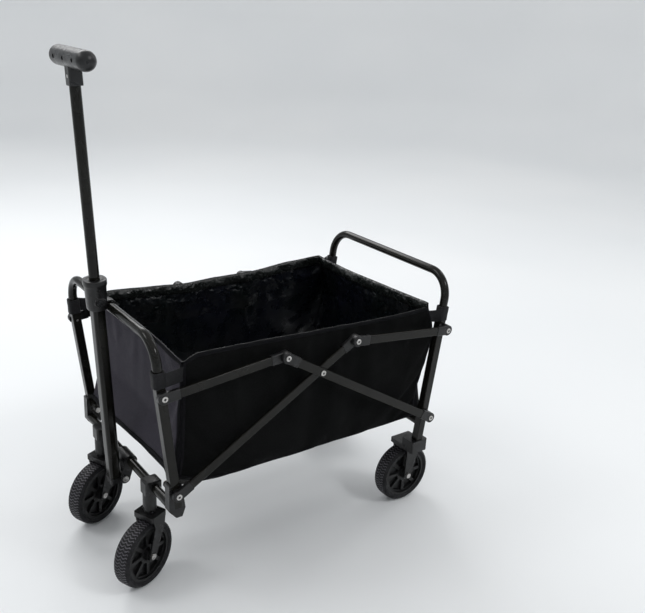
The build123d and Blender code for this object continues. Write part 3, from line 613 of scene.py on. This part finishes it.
def floor_cloth(name, node, body):
    """Half of the bag's floor: cloth over the board, its edges turned up a little and its outer corners cut."""
    low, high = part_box(node)
    width, length = high.y - low.y, high.x - low.x
    mesh = bmesh.new()
    bmesh.ops.create_grid(mesh, x_segments=40, y_segments=48, size=0.5, calc_uvs=False)
    layer = mesh.loops.layers.uv.new("cut")
    for face in mesh.faces:
        for loop in face.loops:
            loop[layer].uv = ((loop.vert.co.x + 0.5) * length, (loop.vert.co.y + 0.5) * width)
    outer = -1 if body == "front_floor" else 1
    for vert in mesh.verts:
        u, v = vert.co.x + 0.5, vert.co.y + 0.5
        x, y = low.x + length * u, low.y + width * v
        edge = min(v, 1 - v) * width
        end = (u if outer < 0 else 1 - u) * length
        turned = max(0.0, 1 - edge / 0.012) ** 2 * 0.004
        turned += max(0.0, 1 - end / 0.016) ** 2 * 0.003
        wrinkle = 0.0011 * noise.noise(Vector((x, y, 0)) * 17)
        wrinkle += 0.0005 * noise.noise(Vector((x, y, 1)) * 45)
        corner = 0.014 * min(1, max(0, (abs(y) - 0.19) / 0.024)) * max(0.0, 1 - end / 0.1)
        vert.co = (x - outer * corner, y, low.z + 0.0012 + turned + wrinkle)
    made = new_piece(name, mesh, [finishes["floor_lining"]])
    give_wall(made, 0.0012)
    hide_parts(node)
    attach(made, body)


# ---------------------------------------------------------------- tyres
TREAD_ROWS = 128
TREAD_FROM = 0.0738
ZIGZAG_FROM, ZIGZAG_SWING, ZIGZAG_WIDTH = 0.0735, 1.6, 0.0068
CASTER_TURN = math.radians(24.0)
TYRE_PROFILE = [(62.0, 17.5), (64.5, 19.6), (66.2, 20.0), (67.0, 20.9), (69.6, 20.9), (70.4, 20.0),
                (72.2, 18.6), (74.2, 16.2), (75.4, 13.2), (75.8, 9.6), (75.9, 5.0), (75.9, 0.0)]


def make_tyre(side, end, body):
    """Tyre spun from its profile, with every second row of the tread raised and bent into a zigzag."""
    node = f"{end}_tyre_{side}"
    low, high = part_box(node)
    centre = (low + high) / 2
    turn = CASTER_TURN if end == "front" else 0.0
    mesh = bmesh.new()
    half = [(r, -y) for r, y in TYRE_PROFILE]
    outline = half + [(r, -y) for r, y in reversed(half[:-1])]
    verts = [mesh.verts.new((r * MM, y * MM, 0)) for r, y in outline]
    edges = [mesh.edges.new(pair) for pair in zip(verts, verts[1:] + verts[:1])]
    bmesh.ops.spin(mesh, geom=verts + edges, cent=(0, 0, 0), axis=(0, 1, 0), angle=math.tau,
                   steps=TREAD_ROWS, use_merge=True)
    bmesh.ops.remove_doubles(mesh, verts=mesh.verts, dist=1e-6)
    pitch = math.tau / TREAD_ROWS

    def zigzag(y):
        return pitch * ZIGZAG_SWING * abs(((y / ZIGZAG_WIDTH) % 2) - 1)

    raised = []
    for face in mesh.faces:
        middle = face.calc_center_median()
        row = int(math.atan2(middle.z, middle.x) / pitch + 1000)
        if math.hypot(middle.x, middle.z) >= TREAD_FROM and row % 2 == 0:
            raised.append(face)
    for vert in mesh.verts:
        if math.hypot(vert.co.x, vert.co.z) > ZIGZAG_FROM:
            vert.co = Matrix.Rotation(zigzag(vert.co.y), 3, "Y") @ vert.co
    bmesh.ops.recalc_face_normals(mesh, faces=mesh.faces)
    bmesh.ops.inset_region(mesh, faces=raised, thickness=0.0004, depth=0.0006, use_even_offset=True)
    # The raised rows take the lighter tread finish, a painted highlight.
    for face in raised:
        face.material_index = 1
    bmesh.ops.transform(mesh, matrix=Matrix.Translation(centre) @ Matrix.Rotation(turn, 4, "Z"),
                        verts=mesh.verts)
    tyre = new_piece(f"{end}_tread_tyre_{side}", mesh, [finishes["tyre"], finishes["tread_highlight_paint"]])
    tyre.data.set_sharp_from_angle(angle=math.radians(38))
    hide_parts(node)
    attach(tyre, body)


# ---------------------------------------------------------------- turned and stacked shapes
def ring_stack(mesh, sections, segments, power, place, cap_low=True, cap_high=True):
    """Closed rings joined upwards; each section is (height, half x, half y), and power squares it off."""
    made = bmesh.ops.create_circle(mesh, cap_ends=False, radius=1, segments=segments)["verts"]
    ring = sorted(made, key=lambda v: math.atan2(v.co.y, v.co.x))
    ways = []
    for vert in ring:
        c, s = vert.co.x, vert.co.y
        size = (abs(c) ** power + abs(s) ** power) ** (-1 / power)
        ways.append((c * size, s * size))
    everything = list(ring)
    first = ring

    def lay(verts, section):
        height, half_x, half_y = section
        for vert, (c, s) in zip(verts, ways):
            vert.co = (c * half_x * MM, s * half_y * MM, height * MM)

    lay(ring, sections[0])
    edges = list({e for v in ring for e in v.link_edges})
    for section in sections[1:]:
        grown = bmesh.ops.extrude_edge_only(mesh, edges=edges)["geom"]
        new = [g for g in grown if isinstance(g, bmesh.types.BMVert)]
        edges = [g for g in grown if isinstance(g, bmesh.types.BMEdge)]
        ring = sorted(new, key=lambda v: math.atan2(v.co.y, v.co.x))
        lay(ring, section)
        everything += ring
    for wanted, verts in ((cap_low, first), (cap_high, ring)):
        if wanted:
            mesh.faces.new(verts)
    bmesh.ops.transform(mesh, matrix=place, verts=everything)


def across_at(point, side):
    """Matrix that lays a stack's height along the wagon's width, out to one side."""
    return Matrix.Translation((point.x, 0, point.z)) @ Matrix.Rotation(-side * math.pi / 2, 4, "X")


def middle_of(node):
    low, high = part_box(node)
    return (low + high) / 2


HANDLE_LEAN = math.radians(-2.8)
HOOP_RADIUS = 0.0103
RIVET_RADIUS = 0.0065


def handle_frame():
    """Matrix from the handle's own axis, zero at the outer tube's foot, to the wagon."""
    bolt = middle_of("handle_pivot_bolt")
    foot = bolt + Vector((-0.018 * math.cos(HANDLE_LEAN), 0, 0.002))
    return Matrix.Translation(foot) @ Matrix.Rotation(HANDLE_LEAN, 4, "Y")


def make_collar():
    """Moulded sleeve at the outer tube's top: flared rim ring, waist and a boss round the lock button."""
    mesh = bmesh.new()
    sleeve = [(412, 18.2, 20.6), (412.4, 19.6, 22.2), (414, 20.4, 22.9), (420, 20.8, 23.3), (452, 21.4, 23.9),
              (462, 21.9, 24.3), (464.5, 22.6, 24.8), (466, 23.6, 25.6), (468, 24.0, 26.0), (476, 24.0, 26.0),
              (477.6, 23.5, 25.5), (478, 22.6, 24.6), (478, 17.4, 18.6), (476.6, 16.2, 17.0), (476.6, 11.3, 11.3),
              (470, 11.2, 11.2)]
    ring_stack(mesh, sleeve, 72, 2.35, handle_frame(), True, False)
    button = Matrix.Translation((0, 0, 0.432)) @ Matrix.Rotation(math.pi / 2, 4, "X")
    boss = [(20.5, 13.0, 9.4), (23.2, 12.4, 8.8), (24.4, 11.6, 8.0), (24.6, 10.9, 7.2), (24.2, 9.3, 5.7),
            (22.6, 9.1, 5.5)]
    ring_stack(mesh, boss, 40, 2.2, handle_frame() @ button, False, True)
    bmesh.ops.recalc_face_normals(mesh, faces=mesh.faces)
    collar = new_piece("collar_sleeve", mesh, [finishes["black_plastic"]])
    collar.data.set_sharp_from_angle(angle=math.radians(50))
    clip = make_hoop_clip()
    for piece in (collar, clip):
        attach(piece, "handle_outer")
    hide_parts("handle_collar")


def make_hoop_clip():
    """Half ring behind the collar that snaps over the front hoop."""
    hook = bmesh.new()
    hoop_low, hoop_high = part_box("front_hoop")
    centre = Vector((hoop_low.x + HOOP_RADIUS, 0, hoop_high.z - HOOP_RADIUS))
    arc = [hook.verts.new(centre + Vector((0.0132 * math.cos(a), 0, 0.0132 * math.sin(a))))
           for a in [math.radians(195 - 15 * k) for k in range(12)]]
    for pair in zip(arc, arc[1:]):
        hook.edges.new(pair)
    bmesh.ops.translate(hook, verts=hook.verts, vec=(0, -0.011, 0))
    grown = bmesh.ops.extrude_edge_only(hook, edges=hook.edges)["geom"]
    far_side = [g for g in grown if isinstance(g, bmesh.types.BMVert)]
    bmesh.ops.translate(hook, verts=far_side, vec=(0, 0.022, 0))
    bmesh.ops.recalc_face_normals(hook, faces=hook.faces)
    clip = new_piece("collar_hoop_clip", hook, [finishes["black_plastic"]])
    return give_wall(clip, 0.0032, soft=0.0008)


# ---------------------------------------------------------------- webbing at the leg tops
def leg_line(end):
    """Lower and upper pivot of a leg pair, in the side view."""
    low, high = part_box(f"{end}_frame_rivets")
    r = RIVET_RADIUS
    if end == "front":
        return Vector((high.x - r, 0, low.z + r)), Vector((low.x + r, 0, high.z - r))
    return Vector((low.x + r, 0, low.z + r)), Vector((high.x - r, 0, high.z - r))


BAND_Z, LEG_MIDDLE_Y = 0.520, 0.228
BAND_LOOP = [(-8.5, 11.6, 11.4), (-8.8, 12.9, 12.1), (-7.8, 13.3, 12.3), (0, 13.0, 12.2), (9, 12.8, 12.2),
             (17, 13.2, 12.3), (24.2, 12.9, 12.2), (25.4, 12.4, 11.9), (25.4, 11.2, 11.0), (22, 10.6, 10.6)]
STRAP_Z, STRAP_HEIGHT, STRAP_START_Y = 0.5125, 0.031, 0.2392


def leg_bands(end, body):
    """Webbing loops round the tops of the legs, each with a strap to the bag's corner."""
    lower, upper = leg_line(end)
    way = (upper - lower).normalized()
    top = lower + way * ((BAND_Z - lower.z) / way.z)
    lean = math.atan2(way.x, way.z) * (0.5 if end == "front" else 1.0)
    towards = 1 if end == "front" else -1
    seam = FRONT_SEAM if end == "front" else REAR_SEAM
    for side, label in ((-1, "near"), (1, "far")):
        mesh = bmesh.new()
        centre = Vector((top.x, side * LEG_MIDDLE_Y, top.z))
        place = Matrix.Translation(centre) @ Matrix.Rotation(lean, 4, "Y")
        ring_stack(mesh, BAND_LOOP, 56, 3.6, place, False, False)
        bmesh.ops.recalc_face_normals(mesh, faces=mesh.faces)
        band = new_piece(f"{end}_leg_band_{label}", mesh, [finishes["webbing"]])
        strap_mesh = bmesh.new()
        bmesh.ops.create_grid(strap_mesh, x_segments=14, y_segments=12, size=0.5)
        for vert in strap_mesh.verts:
            u, v = vert.co.x + 0.5, vert.co.y + 0.5
            z = STRAP_Z + STRAP_HEIGHT * v - 0.0015 * u
            corner_x, corner_y = seam_point(seam, z / MM, side)
            start = Vector((top.x + towards * 0.009, side * STRAP_START_Y, z))
            corner = Vector((corner_x * MM + towards * 0.004, (corner_y + side * 1.6) * MM, z))
            point = start.lerp(corner, u)
            point.y -= side * 0.0022 * math.sin(math.pi * u)
            point.z -= 0.002 * math.sin(math.pi * u)
            vert.co = point
        strap = new_piece(f"{end}_corner_strap_{label}", strap_mesh, [finishes["webbing"]])
        give_wall(strap, 0.0018, soft=0.0006)
        for piece in (band, strap):
            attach(piece, body)
        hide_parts(f"{end}_leg_bands")


# ---------------------------------------------------------------- painted shade in the rivet hollows, and brace eyes
def rivet_shade_discs():
    """Dark disc set into the hollow of each rivet: painted shade in the hollow."""
    places = []
    for end in ("front", "rear"):
        lower, upper = leg_line(end)
        places += [(f"{end}_frame_rivets", lower, "low"), (f"{end}_frame_rivets", upper, "top")]
    for node in ("scissor_rivets", "front_elbow_rivets", "rear_elbow_rivets"):
        places.append((node, middle_of(node), "mid"))
    for node, point, label in places:
        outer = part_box(node)[1].y / MM
        body = nodes[node]["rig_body"]
        for side, side_name in ((-1, "near"), (1, "far")):
            mesh = bmesh.new()
            ring_stack(mesh, [(outer - 1.2, 2.5, 2.5), (outer - 0.5, 2.5, 2.5), (outer - 0.35, 2.0, 2.0)],
                       20, 2.0, across_at(point, side))
            bmesh.ops.recalc_face_normals(mesh, faces=mesh.faces)
            shade_disc = new_piece(f"{node}_core_{label}_{side_name}", mesh, [finishes["black_plastic"]])
            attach(shade_disc, body)


def knuckle_bosses():
    """Rounded glossy eyes of the inner braces, behind the elbow rivets."""
    inner_face, outer_face = 237.4, 250.2
    eye = [(inner_face, 7.0, 7.0), (inner_face + 0.7, 9.8, 9.8), (inner_face + 2.6, 11.9, 11.9),
           (inner_face + 5.6, 12.8, 12.8), (outer_face - 3.0, 12.7, 12.7), (outer_face - 0.9, 11.6, 11.6),
           (outer_face, 9.6, 9.6)]
    for node in ("front_elbow_rivets", "rear_elbow_rivets"):
        point = middle_of(node)
        for side, label in ((-1, "near"), (1, "far")):
            mesh = bmesh.new()
            ring_stack(mesh, eye, 40, 2.0, across_at(point, side))
            bmesh.ops.recalc_face_normals(mesh, faces=mesh.faces)
            boss = new_piece(f"{node}_eye_{label}", mesh, [finishes["glossy_plastic"]])
            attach(boss, nodes[node]["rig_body"])


# ---------------------------------------------------------------- dressing the frame's own parts
def dress_frame():
    """Gives every frame part its finish, by the slot that the record names."""
    for part in frame["record"]["subparts"]:
        node = nodes[part["node"]]
        finish = finishes.get(part["material_slot"], finishes["black_plastic"])
        node.data.materials.clear()
        node.data.materials.append(finish)


add_camera()
light_world()
add_stage()
add_lamp("key_softbox", (-3.2, 1.7, 4.2), (0, 0, 0.3), (1.7, 1.4), 40)
add_lamp("back_softbox", (0.2, 3.1, 3.05), (0, 0, 0.4), (3.0, 1.1), 56)
add_lamp("front_softbox", (1.5, -2.9, 3.4), (0.1, 0, 0.4), (1.0, 0.8), 34)
add_lamp("side_softbox", (3.2, 0.2, 3.0), (0.1, 0, 0.3), (0.5, 2.2), 12)
finishes = make_finishes()
dress_frame()
make_bag()
floor_cloth("bag_floor_front", "bag_front_floor", "front_floor")
floor_cloth("bag_floor_rear", "bag_rear_floor", "rear_floor")
for end in ("front", "rear"):
    for side in ("left", "right"):
        make_tyre(side, end, f"{end}_wheel_{side}")
make_collar()
leg_bands("front", "front_frame")
leg_bands("rear", "rear_frame")
rivet_shade_discs()
knuckle_bosses()
